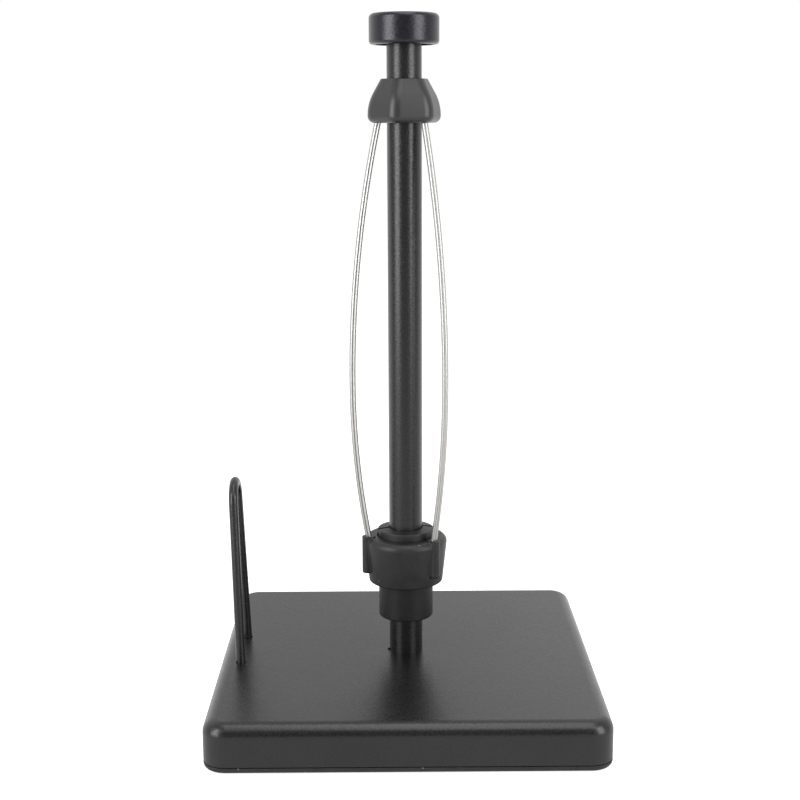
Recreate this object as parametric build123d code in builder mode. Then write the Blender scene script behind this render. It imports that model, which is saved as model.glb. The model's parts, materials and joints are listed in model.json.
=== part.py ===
from build123d import *
import os
from math import asin, cos, degrees, hypot, radians, sin, tan

# Paper towel holder. A weighted square base carries a post. A cage of bowed
# spring wires grips the roll's core and turns on the post with click stops,
# and a side loop holds the loose paper edge. Millimetres, +Z up, origin at
# the centre of the footprint on the table, front towards -Y.

# Base: cover, lid and weight
BASE_SIDE = 180.0
BASE_HEIGHT = 22.8
BASE_CORNER_R = 10.3
BASE_TOP_EDGE_R = 6.0
COVER_WALL = 1.5
SEAM_EDGE_R = 0.2
SEAM_GAP = 0.35
PLATE_THICK = 2.8
PLATE_EDGE_R = 2.2
PLATE_RIM_WALL = 1.5
PLATE_RIM_HEIGHT = 3.0
PLATE_RIM_GAP = 0.2
ACCESS_HOLE_R = 11.0
WEIGHT_THICK = 5.0
WEIGHT_GAP = 0.6
WEIGHT_CORNER_R = 8.0

# Rubber feet, sunk into the lid
FOOT_D = 14.0
FOOT_STANDOFF = 0.6
FOOT_RECESS = 1.2
FOOT_INSET = 17.0
FOOT_GAP = 0.1
FOOT_EDGE_R = 0.3

# Lid screws
SCREW_D = 4.0
SCREW_LENGTH = 12.0
SCREW_GRIP = 3.8
SCREW_HEAD_D = 7.6
SCREW_HEAD_H = 2.4
SCREW_HEAD_GAP = 0.3
SCREW_INSET = 34.0
SCREW_BOSS_WALL = 1.4
CROSS_LENGTH = 4.4
CROSS_WIDTH = 0.9
CROSS_DEPTH = 1.3

# Post, its inserts and its bolt
POST_D = 16.0
POST_WALL = 1.5
POST_KEY_WIDTH = 2.0
POST_KEY_REACH = 0.9
POST_KEY_DEPTH = 1.2
POST_KEY_RISE = 0.7
POST_KEY_GAP = 0.15
INSERT_LENGTH = 20.0
INSERT_FIT = 0.05
BOLT_D = 8.0
BOLT_REACH = 17.0
BOLT_HEAD_FLATS = 13.0
BOLT_HEAD_H = 5.3
BOLT_HOLE_GAP = 0.25
BOLT_EDGE = 0.8
WASHER_D = 24.0
WASHER_THICK = 1.6
LOCK_WASHER_D = 14.5
LOCK_WASHER_THICK = 2.0
LOCK_WASHER_SLIT = 1.6
THREAD_FIT = 0.05

# Knob
KNOB_D = 31.9
KNOB_HEIGHT = 13.7
KNOB_TOP_EDGE_R = 2.2
KNOB_BOTTOM_EDGE_R = 1.8
KNOB_RECESS_D = 26.4
KNOB_RECESS_DEPTH = 2.5
KNOB_SOCKET = 5.0
KNOB_FIT = 0.1
STUD_D = 6.0
STUD_HOLD = 15.0
STUD_REACH = 5.5

# Spring cup: drum fixed on the post, below the collar
CUP_LIFT = 18.2
CUP_HEIGHT = 17.4
CUP_FLOOR = 7.0
CUP_FIT = 0.05
CUP_TUBE_WALL = 1.15
CUP_POCKET = 2.4
CUP_WALL = 1.5
CUP_EDGE_R = 0.8
CUP_SCREW_D = 4.0
CUP_SCREW_DEG = 90.0
CUP_SCREW_SINK = 0.5
CUP_SCREW_KEY = 2.0
CUP_SCREW_KEY_DEPTH = 2.0

# Click ring and its spring
CLICK_RIDGES = 12
CLICK_STOPS = 24
CLICK_RING_THICK = 2.6
CLICK_RING_GAP = 0.15
CLICK_RIDGE_HEIGHT = 0.8
CLICK_RIDGE_WIDTH = 1.8
CLICK_FIT = 0.12
CLICK_LUGS = 3
CLICK_LUG_WIDTH = 2.0
CLICK_LUG_REACH = 0.7
CLICK_SPRING_WIRE = 1.1
CLICK_SPRING_TURNS = 3
CLICK_SPRING_FIT = 0.05

# Turning collar that carries the wires
COLLAR_GAP = 0.3
COLLAR_HEIGHT = 22.5
COLLAR_FIT = 0.08
COLLAR_OVERHANG = 4.65
COLLAR_FLARE = 2.45
COLLAR_SHOULDER_R = 3.0
COLLAR_BOTTOM_EDGE_R = 0.8
RIB_WIDTH = 4.7
RIB_DEPTH = 6.2
RIB_PROUD = 1.5
RIB_LIFT = 5.1
RIB_RISE = 0.8
RIB_EDGE_R = 0.7

# Split keeper ring that sits in the collar's top
KEEPER_WIDTH = 5.15
KEEPER_SINK = 3.0
KEEPER_STAND = 3.4
KEEPER_CROWN = 0.6
KEEPER_POST_GAP = 0.25
KEEPER_SIDE_GAP = 0.5
KEEPER_FLOOR_GAP = 0.1
KEEPER_SPLIT = 1.8
KEEPER_SPLIT_DEG = 8.0
KEEPER_EDGE_R = 0.4
GROOVE_DEPTH = 0.85
GROOVE_WIDTH = 1.6
GROOVE_FIT = 0.05

# Bowed spring wires
WIRE_D = 3.0
WIRE_NAMES = ("left", "right", "back")
FIRST_WIRE_DEG = 195.4
CAGE_HEIGHT = 195.5
WIRE_BOW_R = 25.7
WIRE_CREST_LIFT = 76.4
WIRE_INSET = 1.6
WIRE_SOCKET_DEPTH = 11.0
WIRE_SOCKET_FIT = 0.05
WIRE_BEND_R = 6.0
WIRE_BEND_DROP = 0.5
WIRE_TAIL = 8.0

# Six-sided bell that slides on the post
BELL_SIDES = 6
BELL_TWIST_DEG = -2.0
BELL_HEIGHT = 19.7
BELL_FLATS = 31.1
BELL_SKIRT = 3.5
BELL_SHOULDER_R = 22.0
BELL_CONE_DEG = 26.5
BELL_RIDGE_R = 6.0
BELL_BOTTOM_EDGE_R = 3.2
BELL_TOP_EDGE_R = 0.6
BELL_FIT = 0.1
BELL_INNER_WALL = 3.2
BELL_SOCKET_FIT = 0.2
BELL_SOCKET_END = 0.6
BELL_HEADROOM = 15.0

# Side loop and its fastenings
LOOP_WIRE_D = 4.4
LOOP_WIDTH = 33.5
LOOP_HEIGHT = 87.3
LOOP_LEAN_DEG = 1.7
LOOP_TAPER_DEG = 5.2
LOOP_INSET = 10.45
LOOP_HOLE_GAP = 0.3
LOOP_STUD_D = 3.0
LOOP_STUD_GAP = 0.15
LOOP_STUD_END = 1.0
LOOP_WASHER_D = 7.0
LOOP_WASHER_THICK = 0.6
LOOP_NUT_FLATS = 5.5
LOOP_NUT_H = 2.4

# Levels, stacked from the table up
plate_bottom_z = FOOT_STANDOFF
plate_top_z = plate_bottom_z + PLATE_THICK
cover_bottom_z = plate_top_z + SEAM_GAP
weight_top_z = BASE_HEIGHT - COVER_WALL
weight_bottom_z = weight_top_z - WEIGHT_THICK
screw_seat_z = weight_bottom_z + SCREW_GRIP - SCREW_LENGTH
lock_washer_top_z = weight_bottom_z - WASHER_THICK
bolt_seat_z = lock_washer_top_z - LOCK_WASHER_THICK
cup_bottom_z = BASE_HEIGHT + CUP_LIFT
cup_floor_z = cup_bottom_z + CUP_FLOOR
cup_top_z = cup_bottom_z + CUP_HEIGHT
collar_bottom_z = cup_top_z + COLLAR_GAP
collar_top_z = collar_bottom_z + COLLAR_HEIGHT
keeper_bottom_z = collar_top_z - KEEPER_SINK
keeper_top_z = collar_top_z + KEEPER_STAND
groove_z = (keeper_bottom_z + keeper_top_z - GROOVE_WIDTH) / 2
rib_bottom_z = collar_bottom_z + RIB_LIFT
rib_top_z = collar_top_z + RIB_RISE
crest_z = collar_top_z + WIRE_CREST_LIFT
bell_bottom_z = collar_top_z + CAGE_HEIGHT
bell_top_z = bell_bottom_z + BELL_HEIGHT
knob_bottom_z = bell_top_z + BELL_HEADROOM
post_top_z = knob_bottom_z + KNOB_SOCKET

# Radii, stacked from the post's axis out
post_r = POST_D / 2
post_bore_r = post_r - POST_WALL
groove_r = post_r - GROOVE_DEPTH
cup_bore_r = post_r + CUP_FIT
pocket_in_r = cup_bore_r + CUP_TUBE_WALL
pocket_out_r = pocket_in_r + CUP_POCKET
cup_r = pocket_out_r + CUP_WALL
click_in_r = pocket_in_r + CLICK_RING_GAP
click_out_r = pocket_out_r - CLICK_RING_GAP
click_lug_r = pocket_out_r + CLICK_LUG_REACH
collar_bore_r = post_r + COLLAR_FIT
collar_bottom_r = cup_r + COLLAR_OVERHANG
collar_top_r = collar_bottom_r + COLLAR_FLARE
keeper_bore_r = post_r + KEEPER_POST_GAP
keeper_r = keeper_bore_r + KEEPER_WIDTH
recess_r = keeper_r + KEEPER_SIDE_GAP
rib_r = collar_top_r + RIB_PROUD
bell_bore_r = post_r + BELL_FIT
wire_r = WIRE_D / 2

# Places of the fastenings and feet in plan
weight_side = BASE_SIDE - 2 * (BASE_TOP_EDGE_R + WEIGHT_GAP)
rim_side = BASE_SIDE - 2 * (COVER_WALL + PLATE_RIM_GAP)
rim_corner_r = BASE_CORNER_R - COVER_WALL - PLATE_RIM_GAP
foot_place = BASE_SIDE / 2 - FOOT_INSET
screw_span = BASE_SIDE - 2 * SCREW_INSET
loop_x = LOOP_INSET - BASE_SIDE / 2
loop_feet = [(loop_x, -LOOP_WIDTH / 2), (loop_x, LOOP_WIDTH / 2)]

os.makedirs("parts", exist_ok=True)


def write(piece, name):
    """Label a finished piece and write it under its own name."""
    piece.part.label = name
    export_step(piece.part, f"parts/{name}.step")


def upright_plane(azimuth):
    """Vertical plane through the post's axis: x runs outwards, y runs up."""
    out = (cos(radians(azimuth)), sin(radians(azimuth)), 0)
    return Plane(origin=(0, 0, 0), x_dir=out, z_dir=(out[1], -out[0], 0))


def outward_plane(azimuth, radius, height):
    """Vertical plane that faces outwards: x runs around the post, y runs up."""
    out = (cos(radians(azimuth)), sin(radians(azimuth)), 0)
    place = (radius * out[0], radius * out[1], height)
    return Plane(origin=place, x_dir=(-out[1], out[0], 0), z_dir=out)


# Base cover: pressed shell, open below
with BuildPart() as base_cover:
    with BuildSketch(Plane.XY.offset(cover_bottom_z)):
        RectangleRounded(BASE_SIDE, BASE_SIDE, BASE_CORNER_R)
    extrude(amount=BASE_HEIGHT - cover_bottom_z)
    fillet(base_cover.edges().group_by(Axis.Z)[-1], radius=BASE_TOP_EDGE_R)
    offset(amount=-COVER_WALL, openings=base_cover.faces().sort_by(Axis.Z)[0])
    cover_rim = base_cover.faces().sort_by(Axis.Z)[0]
    fillet(cover_rim.outer_wire().edges(), radius=SEAM_EDGE_R)
    with BuildSketch(Plane.XY.offset(BASE_HEIGHT)):
        Circle(BOLT_D / 2 + BOLT_HOLE_GAP)
        with Locations(*loop_feet):
            Circle(LOOP_WIRE_D / 2 + LOOP_HOLE_GAP)
        with Locations((-post_r - POST_KEY_REACH - POST_KEY_GAP, 0)):
            Rectangle(
                POST_WALL + POST_KEY_REACH + 2 * POST_KEY_GAP,
                POST_KEY_WIDTH + 2 * POST_KEY_GAP,
                align=(Align.MIN, Align.CENTER),
            )
    extrude(amount=-COVER_WALL, mode=Mode.SUBTRACT)
write(base_cover, "base_cover")

# Base weight: steel slab clamped against the cover's underside
with BuildPart() as base_weight:
    with BuildSketch(Plane.XY.offset(weight_bottom_z)):
        RectangleRounded(weight_side, weight_side, WEIGHT_CORNER_R)
        Circle(BOLT_D / 2 + BOLT_HOLE_GAP, mode=Mode.SUBTRACT)
        with Locations(*loop_feet):
            Circle(LOOP_STUD_D / 2 + LOOP_STUD_GAP, mode=Mode.SUBTRACT)
        with GridLocations(screw_span, screw_span, 2, 2):
            Circle(SCREW_D / 2 + THREAD_FIT, mode=Mode.SUBTRACT)
    extrude(amount=WEIGHT_THICK)
write(base_weight, "base_weight")

# Bottom plate: moulded lid with a locating rim and screw bosses
plate_edge_r = min(PLATE_EDGE_R, PLATE_THICK - 2 * SEAM_EDGE_R)
screw_head_bore_r = SCREW_HEAD_D / 2 + SCREW_HEAD_GAP
with BuildPart() as bottom_plate:
    with BuildSketch(Plane.XY.offset(plate_bottom_z)):
        RectangleRounded(BASE_SIDE, BASE_SIDE, BASE_CORNER_R)
    extrude(amount=PLATE_THICK)
    fillet(bottom_plate.edges().group_by(Axis.Z)[0], radius=plate_edge_r)
    fillet(bottom_plate.edges().group_by(Axis.Z)[-1], radius=SEAM_EDGE_R)
    with BuildSketch(Plane.XY.offset(plate_top_z)):
        RectangleRounded(rim_side, rim_side, rim_corner_r)
        rim_inside = rim_side - 2 * PLATE_RIM_WALL
        RectangleRounded(rim_inside, rim_inside, rim_corner_r - PLATE_RIM_WALL, mode=Mode.SUBTRACT)
    extrude(amount=PLATE_RIM_HEIGHT)
    with BuildSketch(Plane.XY.offset(plate_top_z)):
        with GridLocations(screw_span, screw_span, 2, 2):
            Circle(screw_head_bore_r + SCREW_BOSS_WALL)
    extrude(amount=weight_bottom_z - plate_top_z)
    with Locations(Plane(origin=(0, 0, plate_bottom_z), z_dir=(0, 0, -1))):
        with GridLocations(screw_span, screw_span, 2, 2):
            CounterBoreHole(SCREW_D / 2 + SCREW_HEAD_GAP, screw_head_bore_r, screw_seat_z - plate_bottom_z)
        Hole(ACCESS_HOLE_R)
    with BuildSketch(Plane.XY.offset(plate_bottom_z)):
        with GridLocations(2 * foot_place, 2 * foot_place, 2, 2):
            Circle(FOOT_D / 2 + FOOT_GAP)
    extrude(amount=FOOT_RECESS, mode=Mode.SUBTRACT)
write(bottom_plate, "bottom_plate")

# Lid screws, with cross slots
with BuildPart() as plate_screws:
    with BuildSketch(Plane.XY.offset(screw_seat_z)):
        with GridLocations(screw_span, screw_span, 2, 2):
            Circle(SCREW_HEAD_D / 2)
    extrude(amount=-SCREW_HEAD_H)
    with BuildSketch(Plane.XY.offset(screw_seat_z)):
        with GridLocations(screw_span, screw_span, 2, 2):
            Circle(SCREW_D / 2)
    extrude(amount=SCREW_LENGTH)
    with BuildSketch(Plane.XY.offset(screw_seat_z - SCREW_HEAD_H)):
        with GridLocations(screw_span, screw_span, 2, 2):
            Rectangle(CROSS_LENGTH, CROSS_WIDTH)
            Rectangle(CROSS_WIDTH, CROSS_LENGTH)
    extrude(amount=CROSS_DEPTH, mode=Mode.SUBTRACT)
write(plate_screws, "plate_screws")

# Rubber feet, one at each corner
for depth_name, depth_side in (("front", -1), ("back", 1)):
    for width_name, width_side in (("left", -1), ("right", 1)):
        with BuildPart() as foot:
            with BuildSketch(Plane.XY):
                with Locations((width_side * foot_place, depth_side * foot_place)):
                    Circle(FOOT_D / 2)
            extrude(amount=FOOT_STANDOFF + FOOT_RECESS)
            fillet(foot.edges().group_by(Axis.Z)[0], radius=FOOT_EDGE_R)
        write(foot, f"foot_{depth_name}_{width_name}")

# Post: tube with a keeper groove and a key that stops it turning in the cover
with BuildPart() as post:
    with BuildSketch(Plane.XY.offset(BASE_HEIGHT)):
        Circle(post_r)
        Circle(post_bore_r, mode=Mode.SUBTRACT)
    extrude(amount=post_top_z - BASE_HEIGHT)
    with BuildSketch(Plane.XY.offset(groove_z)):
        Circle(post_r)
        Circle(groove_r, mode=Mode.SUBTRACT)
    extrude(amount=GROOVE_WIDTH, mode=Mode.SUBTRACT)
    with BuildSketch(Plane.XY.offset(BASE_HEIGHT - POST_KEY_DEPTH)):
        with Locations((-post_r - POST_KEY_REACH, 0)):
            Rectangle(
                POST_WALL + POST_KEY_REACH,
                POST_KEY_WIDTH,
                align=(Align.MIN, Align.CENTER),
            )
        Circle(post_bore_r, mode=Mode.SUBTRACT)
    extrude(amount=POST_KEY_DEPTH + POST_KEY_RISE)
write(post, "post")

# Foot insert: threaded plug in the lower end of the post
with BuildPart() as foot_insert:
    with BuildSketch(Plane.XY.offset(BASE_HEIGHT)):
        Circle(post_bore_r - INSERT_FIT)
        Circle(BOLT_D / 2 + THREAD_FIT, mode=Mode.SUBTRACT)
    extrude(amount=INSERT_LENGTH)
write(foot_insert, "foot_insert")

# Post bolt: hexagon head under the weight
with BuildPart() as post_bolt:
    with BuildSketch(Plane.XY.offset(bolt_seat_z)):
        RegularPolygon(BOLT_HEAD_FLATS / 2, side_count=6, major_radius=False)
    extrude(amount=-BOLT_HEAD_H)
    with BuildSketch(Plane.XY.offset(bolt_seat_z)):
        Circle(BOLT_D / 2)
    extrude(amount=BASE_HEIGHT + BOLT_REACH - bolt_seat_z)
    chamfer(post_bolt.edges().group_by(Axis.Z)[-1], length=BOLT_EDGE)
write(post_bolt, "post_bolt")

with BuildPart() as bolt_washer:
    with BuildSketch(Plane.XY.offset(lock_washer_top_z)):
        Circle(WASHER_D / 2)
        Circle(BOLT_D / 2 + BOLT_HOLE_GAP, mode=Mode.SUBTRACT)
    extrude(amount=WASHER_THICK)
write(bolt_washer, "bolt_washer")

with BuildPart() as lock_washer:
    with BuildSketch(Plane.XY.offset(bolt_seat_z)):
        Circle(LOCK_WASHER_D / 2)
        Circle(BOLT_D / 2 + BOLT_HOLE_GAP, mode=Mode.SUBTRACT)
        Rectangle(LOCK_WASHER_D, LOCK_WASHER_SLIT, align=(Align.MIN, Align.CENTER), mode=Mode.SUBTRACT)
    extrude(amount=LOCK_WASHER_THICK)
write(lock_washer, "lock_washer")

# Top insert: threaded plug in the upper end of the post
with BuildPart() as top_insert:
    with BuildSketch(Plane.XY.offset(post_top_z)):
        Circle(post_bore_r - INSERT_FIT)
        Circle(STUD_D / 2 + THREAD_FIT, mode=Mode.SUBTRACT)
    extrude(amount=-INSERT_LENGTH)
write(top_insert, "top_insert")

with BuildPart() as knob_stud:
    with BuildSketch(Plane.XY.offset(post_top_z - STUD_HOLD)):
        Circle(STUD_D / 2)
    extrude(amount=STUD_HOLD + STUD_REACH)
write(knob_stud, "knob_stud")

# Knob: cap over the end of the post, hollowed underneath round it
with BuildPart() as knob:
    with BuildSketch(Plane.XY.offset(knob_bottom_z)):
        Circle(KNOB_D / 2)
    extrude(amount=KNOB_HEIGHT)
    fillet(knob.edges().group_by(Axis.Z)[-1], radius=KNOB_TOP_EDGE_R)
    fillet(knob.edges().group_by(Axis.Z)[0], radius=KNOB_BOTTOM_EDGE_R)
    with BuildSketch(Plane.XY.offset(knob_bottom_z)):
        Circle(KNOB_RECESS_D / 2)
    extrude(amount=KNOB_RECESS_DEPTH, mode=Mode.SUBTRACT)
    with BuildSketch(Plane.XY.offset(knob_bottom_z)):
        Circle(post_r + KNOB_FIT)
    extrude(amount=KNOB_SOCKET, mode=Mode.SUBTRACT)
    with BuildSketch(Plane.XY.offset(post_top_z)):
        Circle(STUD_D / 2 + THREAD_FIT)
    extrude(amount=STUD_REACH + THREAD_FIT, mode=Mode.SUBTRACT)
write(knob, "knob")

# Spring cup: drum with a ring-shaped pocket, slots for the click ring's lugs
# and a screw hole at the back
cup_screw_z = cup_bottom_z + CUP_FLOOR / 2
with BuildPart() as spring_cup:
    with BuildSketch(Plane.XY.offset(cup_bottom_z)):
        Circle(cup_r)
    extrude(amount=CUP_HEIGHT)
    fillet(spring_cup.edges().group_by(Axis.Z)[0], radius=CUP_EDGE_R)
    with BuildSketch(Plane.XY.offset(cup_floor_z)):
        Circle(pocket_out_r)
        with PolarLocations(pocket_in_r, CLICK_LUGS):
            Rectangle(
                click_lug_r + CLICK_RING_GAP - pocket_in_r,
                CLICK_LUG_WIDTH + 2 * CLICK_RING_GAP,
                align=(Align.MIN, Align.CENTER),
            )
        Circle(pocket_in_r, mode=Mode.SUBTRACT)
    extrude(amount=cup_top_z - cup_floor_z, mode=Mode.SUBTRACT)
    with BuildSketch(Plane.XY.offset(cup_bottom_z)):
        Circle(cup_bore_r)
    extrude(amount=CUP_HEIGHT, mode=Mode.SUBTRACT)
    with BuildSketch(outward_plane(CUP_SCREW_DEG, 0, cup_screw_z)):
        Circle(CUP_SCREW_D / 2 + THREAD_FIT)
    extrude(amount=cup_r, mode=Mode.SUBTRACT)
write(spring_cup, "spring_cup")

# Cup screw: grub screw at the back that fixes the drum on the post
with BuildPart() as cup_screw:
    with BuildSketch(outward_plane(CUP_SCREW_DEG, cup_r - CUP_SCREW_SINK, cup_screw_z)):
        Circle(CUP_SCREW_D / 2)
    extrude(amount=-(cup_r - CUP_SCREW_SINK - post_r - CUP_FIT))
    with BuildSketch(outward_plane(CUP_SCREW_DEG, cup_r - CUP_SCREW_SINK, cup_screw_z)):
        RegularPolygon(CUP_SCREW_KEY / 2, side_count=6, major_radius=False)
    extrude(amount=-CUP_SCREW_KEY_DEPTH, mode=Mode.SUBTRACT)
write(cup_screw, "cup_screw")

# Click ring: slides in the cup, and its ridges drop into the collar's grooves
click_bottom_z = cup_top_z - CLICK_RING_THICK
ridge_planes = [
    outward_plane(turn * 360 / CLICK_RIDGES, click_in_r + CLICK_RING_GAP, cup_top_z)
    for turn in range(CLICK_RIDGES)
]
with BuildPart() as click_ring:
    with BuildSketch(Plane.XY.offset(click_bottom_z)):
        Circle(click_out_r)
        with PolarLocations(click_in_r, CLICK_LUGS):
            Rectangle(click_lug_r - click_in_r, CLICK_LUG_WIDTH, align=(Align.MIN, Align.CENTER))
        Circle(click_in_r, mode=Mode.SUBTRACT)
    extrude(amount=CLICK_RING_THICK)
    with BuildSketch(*ridge_planes):
        with BuildLine():
            Polyline(
                (-CLICK_RIDGE_WIDTH / 2, 0),
                (CLICK_RIDGE_WIDTH / 2, 0),
                (0, CLICK_RIDGE_HEIGHT),
                close=True,
            )
        make_face()
    extrude(amount=click_out_r - click_in_r - 2 * CLICK_RING_GAP)
write(click_ring, "click_ring")

# Click spring: one unbroken coil under the ring, laid as tilted half turns
coil_r = (pocket_in_r + pocket_out_r) / 2
coil_start_z = cup_floor_z + CLICK_SPRING_WIRE / 2 + CLICK_SPRING_FIT
coil_end_z = click_bottom_z - CLICK_SPRING_WIRE / 2 - CLICK_SPRING_FIT
coil_step = (coil_end_z - coil_start_z) / (2 * CLICK_SPRING_TURNS)
with BuildPart() as click_spring:
    with BuildLine() as coil:
        for half_turn in range(2 * CLICK_SPRING_TURNS):
            side = coil_r if half_turn % 2 == 0 else -coil_r
            start_z = coil_start_z + half_turn * coil_step
            ThreePointArc(
                (side, 0, start_z),
                (0, side, start_z + coil_step / 2),
                (-side, 0, start_z + coil_step),
            )
    with BuildSketch(Plane(origin=(coil_r, 0, coil_start_z), z_dir=(0, 1, 0))):
        Circle(CLICK_SPRING_WIRE / 2)
    sweep(path=coil.line)
write(click_spring, "click_spring")

# Keepers: two half rings that hook into the post's groove above the collar
split_out = (cos(radians(KEEPER_SPLIT_DEG)), sin(radians(KEEPER_SPLIT_DEG)), 0)
lip_r = groove_r + GROOVE_FIT
for name, side in (("front", -1), ("back", 1)):
    facing = (-side * split_out[1], side * split_out[0], 0)
    with BuildPart() as keeper:
        with BuildSketch(Plane.XZ):
            with BuildLine():
                Polyline(
                    (keeper_bore_r, keeper_bottom_z),
                    (keeper_r, keeper_bottom_z),
                    (keeper_r, keeper_top_z),
                    (keeper_bore_r, keeper_top_z + KEEPER_CROWN),
                    close=True,
                )
            make_face()
        revolve(axis=Axis.Z)
        fillet(keeper.edges().filter_by_position(Axis.Z, keeper_top_z, keeper_top_z), radius=KEEPER_EDGE_R)
        with BuildSketch(Plane.XY.offset(groove_z + GROOVE_FIT)):
            Circle(keeper_bore_r)
            Circle(lip_r, mode=Mode.SUBTRACT)
        extrude(amount=GROOVE_WIDTH - 2 * GROOVE_FIT)
        split(bisect_by=Plane(origin=(0, 0, 0), z_dir=facing).offset(KEEPER_SPLIT / 2), keep=Keep.TOP)
    write(keeper, f"keeper_{name}")

# Shape of one wire in its upright plane: two arcs that meet at the crest, a
# straight tail in the collar and a short bend into the bell
wire_low_r = collar_top_r - WIRE_INSET
wire_top_r = bell_bore_r + BELL_INNER_WALL + wire_r
wire_top_z = bell_bottom_z - WIRE_BEND_DROP
low_chord = (WIRE_BOW_R - wire_low_r, crest_z - rib_top_z)
high_chord = (WIRE_BOW_R - wire_top_r, wire_top_z - crest_z)
low_arc_r = hypot(*low_chord) ** 2 / (2 * low_chord[0])
high_arc_r = hypot(*high_chord) ** 2 / (2 * high_chord[0])
low_turn = asin(low_chord[1] / low_arc_r)
high_turn = asin(high_chord[1] / high_arc_r)
tail_foot = (
    wire_low_r - WIRE_SOCKET_DEPTH * sin(low_turn),
    rib_top_z - WIRE_SOCKET_DEPTH * cos(low_turn),
)
bend_centre = (wire_top_r + WIRE_BEND_R * cos(high_turn), wire_top_z + WIRE_BEND_R * sin(high_turn))
bell_socket_r = bend_centre[0] - WIRE_BEND_R
tail_end_z = bend_centre[1] + WIRE_TAIL
wire_turns = [FIRST_WIRE_DEG + turn * 360 / len(WIRE_NAMES) for turn in range(len(WIRE_NAMES))]

for name, azimuth in zip(WIRE_NAMES, wire_turns):
    with BuildPart() as spring_wire:
        with BuildLine(upright_plane(azimuth)) as wire_path:
            Line(tail_foot, (wire_low_r, rib_top_z))
            CenterArc((WIRE_BOW_R - low_arc_r, crest_z), low_arc_r, -degrees(low_turn), degrees(low_turn))
            CenterArc((WIRE_BOW_R - high_arc_r, crest_z), high_arc_r, 0, degrees(high_turn))
            CenterArc(bend_centre, WIRE_BEND_R, 180 + degrees(high_turn), -degrees(high_turn))
            Line((bell_socket_r, bend_centre[1]), (bell_socket_r, tail_end_z))
        with BuildSketch(wire_path.line ^ 0):
            Circle(wire_r)
        sweep(path=wire_path.line)
    write(spring_wire, f"spring_wire_{name}")

# Wire collar: tapered body with a socket rib for each wire, a recess for the
# keepers above and click grooves below
click_lap = CLICK_RIDGE_HEIGHT - COLLAR_GAP + CLICK_FIT
click_half_width = click_lap * CLICK_RIDGE_WIDTH / (2 * CLICK_RIDGE_HEIGHT)
click_planes = [
    outward_plane(turn * 360 / CLICK_STOPS, click_in_r - CLICK_RING_GAP, collar_bottom_z)
    for turn in range(CLICK_STOPS)
]
with BuildPart() as wire_collar:
    with BuildSketch(Plane.XZ):
        with BuildLine():
            Polyline(
                (0, collar_bottom_z),
                (collar_bottom_r, collar_bottom_z),
                (collar_top_r, collar_top_z),
                (0, collar_top_z),
                close=True,
            )
        make_face()
    revolve(axis=Axis.Z)
    fillet(wire_collar.edges().group_by(Axis.Z)[-1], radius=COLLAR_SHOULDER_R)
    fillet(wire_collar.edges().group_by(Axis.Z)[0], radius=COLLAR_BOTTOM_EDGE_R)
    with BuildSketch(Plane.XY.offset(rib_bottom_z)):
        with PolarLocations(rib_r - RIB_DEPTH / 2, len(WIRE_NAMES), start_angle=FIRST_WIRE_DEG):
            SlotOverall(RIB_DEPTH, RIB_WIDTH)
    extrude(amount=rib_top_z - rib_bottom_z)
    rib_feet = wire_collar.edges().filter_by_position(Axis.Z, rib_bottom_z, rib_bottom_z)
    rib_flanks = wire_collar.edges().filter_by(GeomType.HYPERBOLA)
    rib_shoulders = wire_collar.edges().filter_by(GeomType.BSPLINE)
    fillet(rib_feet.filter_by(GeomType.CIRCLE) + rib_flanks + rib_shoulders, radius=RIB_EDGE_R)
    with BuildSketch(Plane.XY.offset(keeper_bottom_z - KEEPER_FLOOR_GAP)):
        Circle(recess_r)
    extrude(amount=KEEPER_SINK + KEEPER_FLOOR_GAP, mode=Mode.SUBTRACT)
    with BuildSketch(Plane.XY.offset(collar_bottom_z)):
        Circle(collar_bore_r)
    extrude(amount=COLLAR_HEIGHT, mode=Mode.SUBTRACT)
    with BuildSketch(*click_planes):
        with BuildLine():
            Polyline((-click_half_width, 0), (click_half_width, 0), (0, click_lap), close=True)
        make_face()
    extrude(amount=click_out_r - click_in_r + 2 * CLICK_RING_GAP, mode=Mode.SUBTRACT)
    for azimuth in wire_turns:
        socket_line = upright_plane(azimuth)
        socket_foot = socket_line.from_local_coords(Vector(*tail_foot))
        socket_mouth = socket_line.from_local_coords(Vector(wire_low_r, rib_top_z))
        with BuildSketch(Plane(origin=socket_foot, z_dir=socket_mouth - socket_foot)):
            Circle(wire_r + WIRE_SOCKET_FIT)
        extrude(amount=2 * WIRE_SOCKET_DEPTH, mode=Mode.SUBTRACT)
write(wire_collar, "wire_collar")

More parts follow.
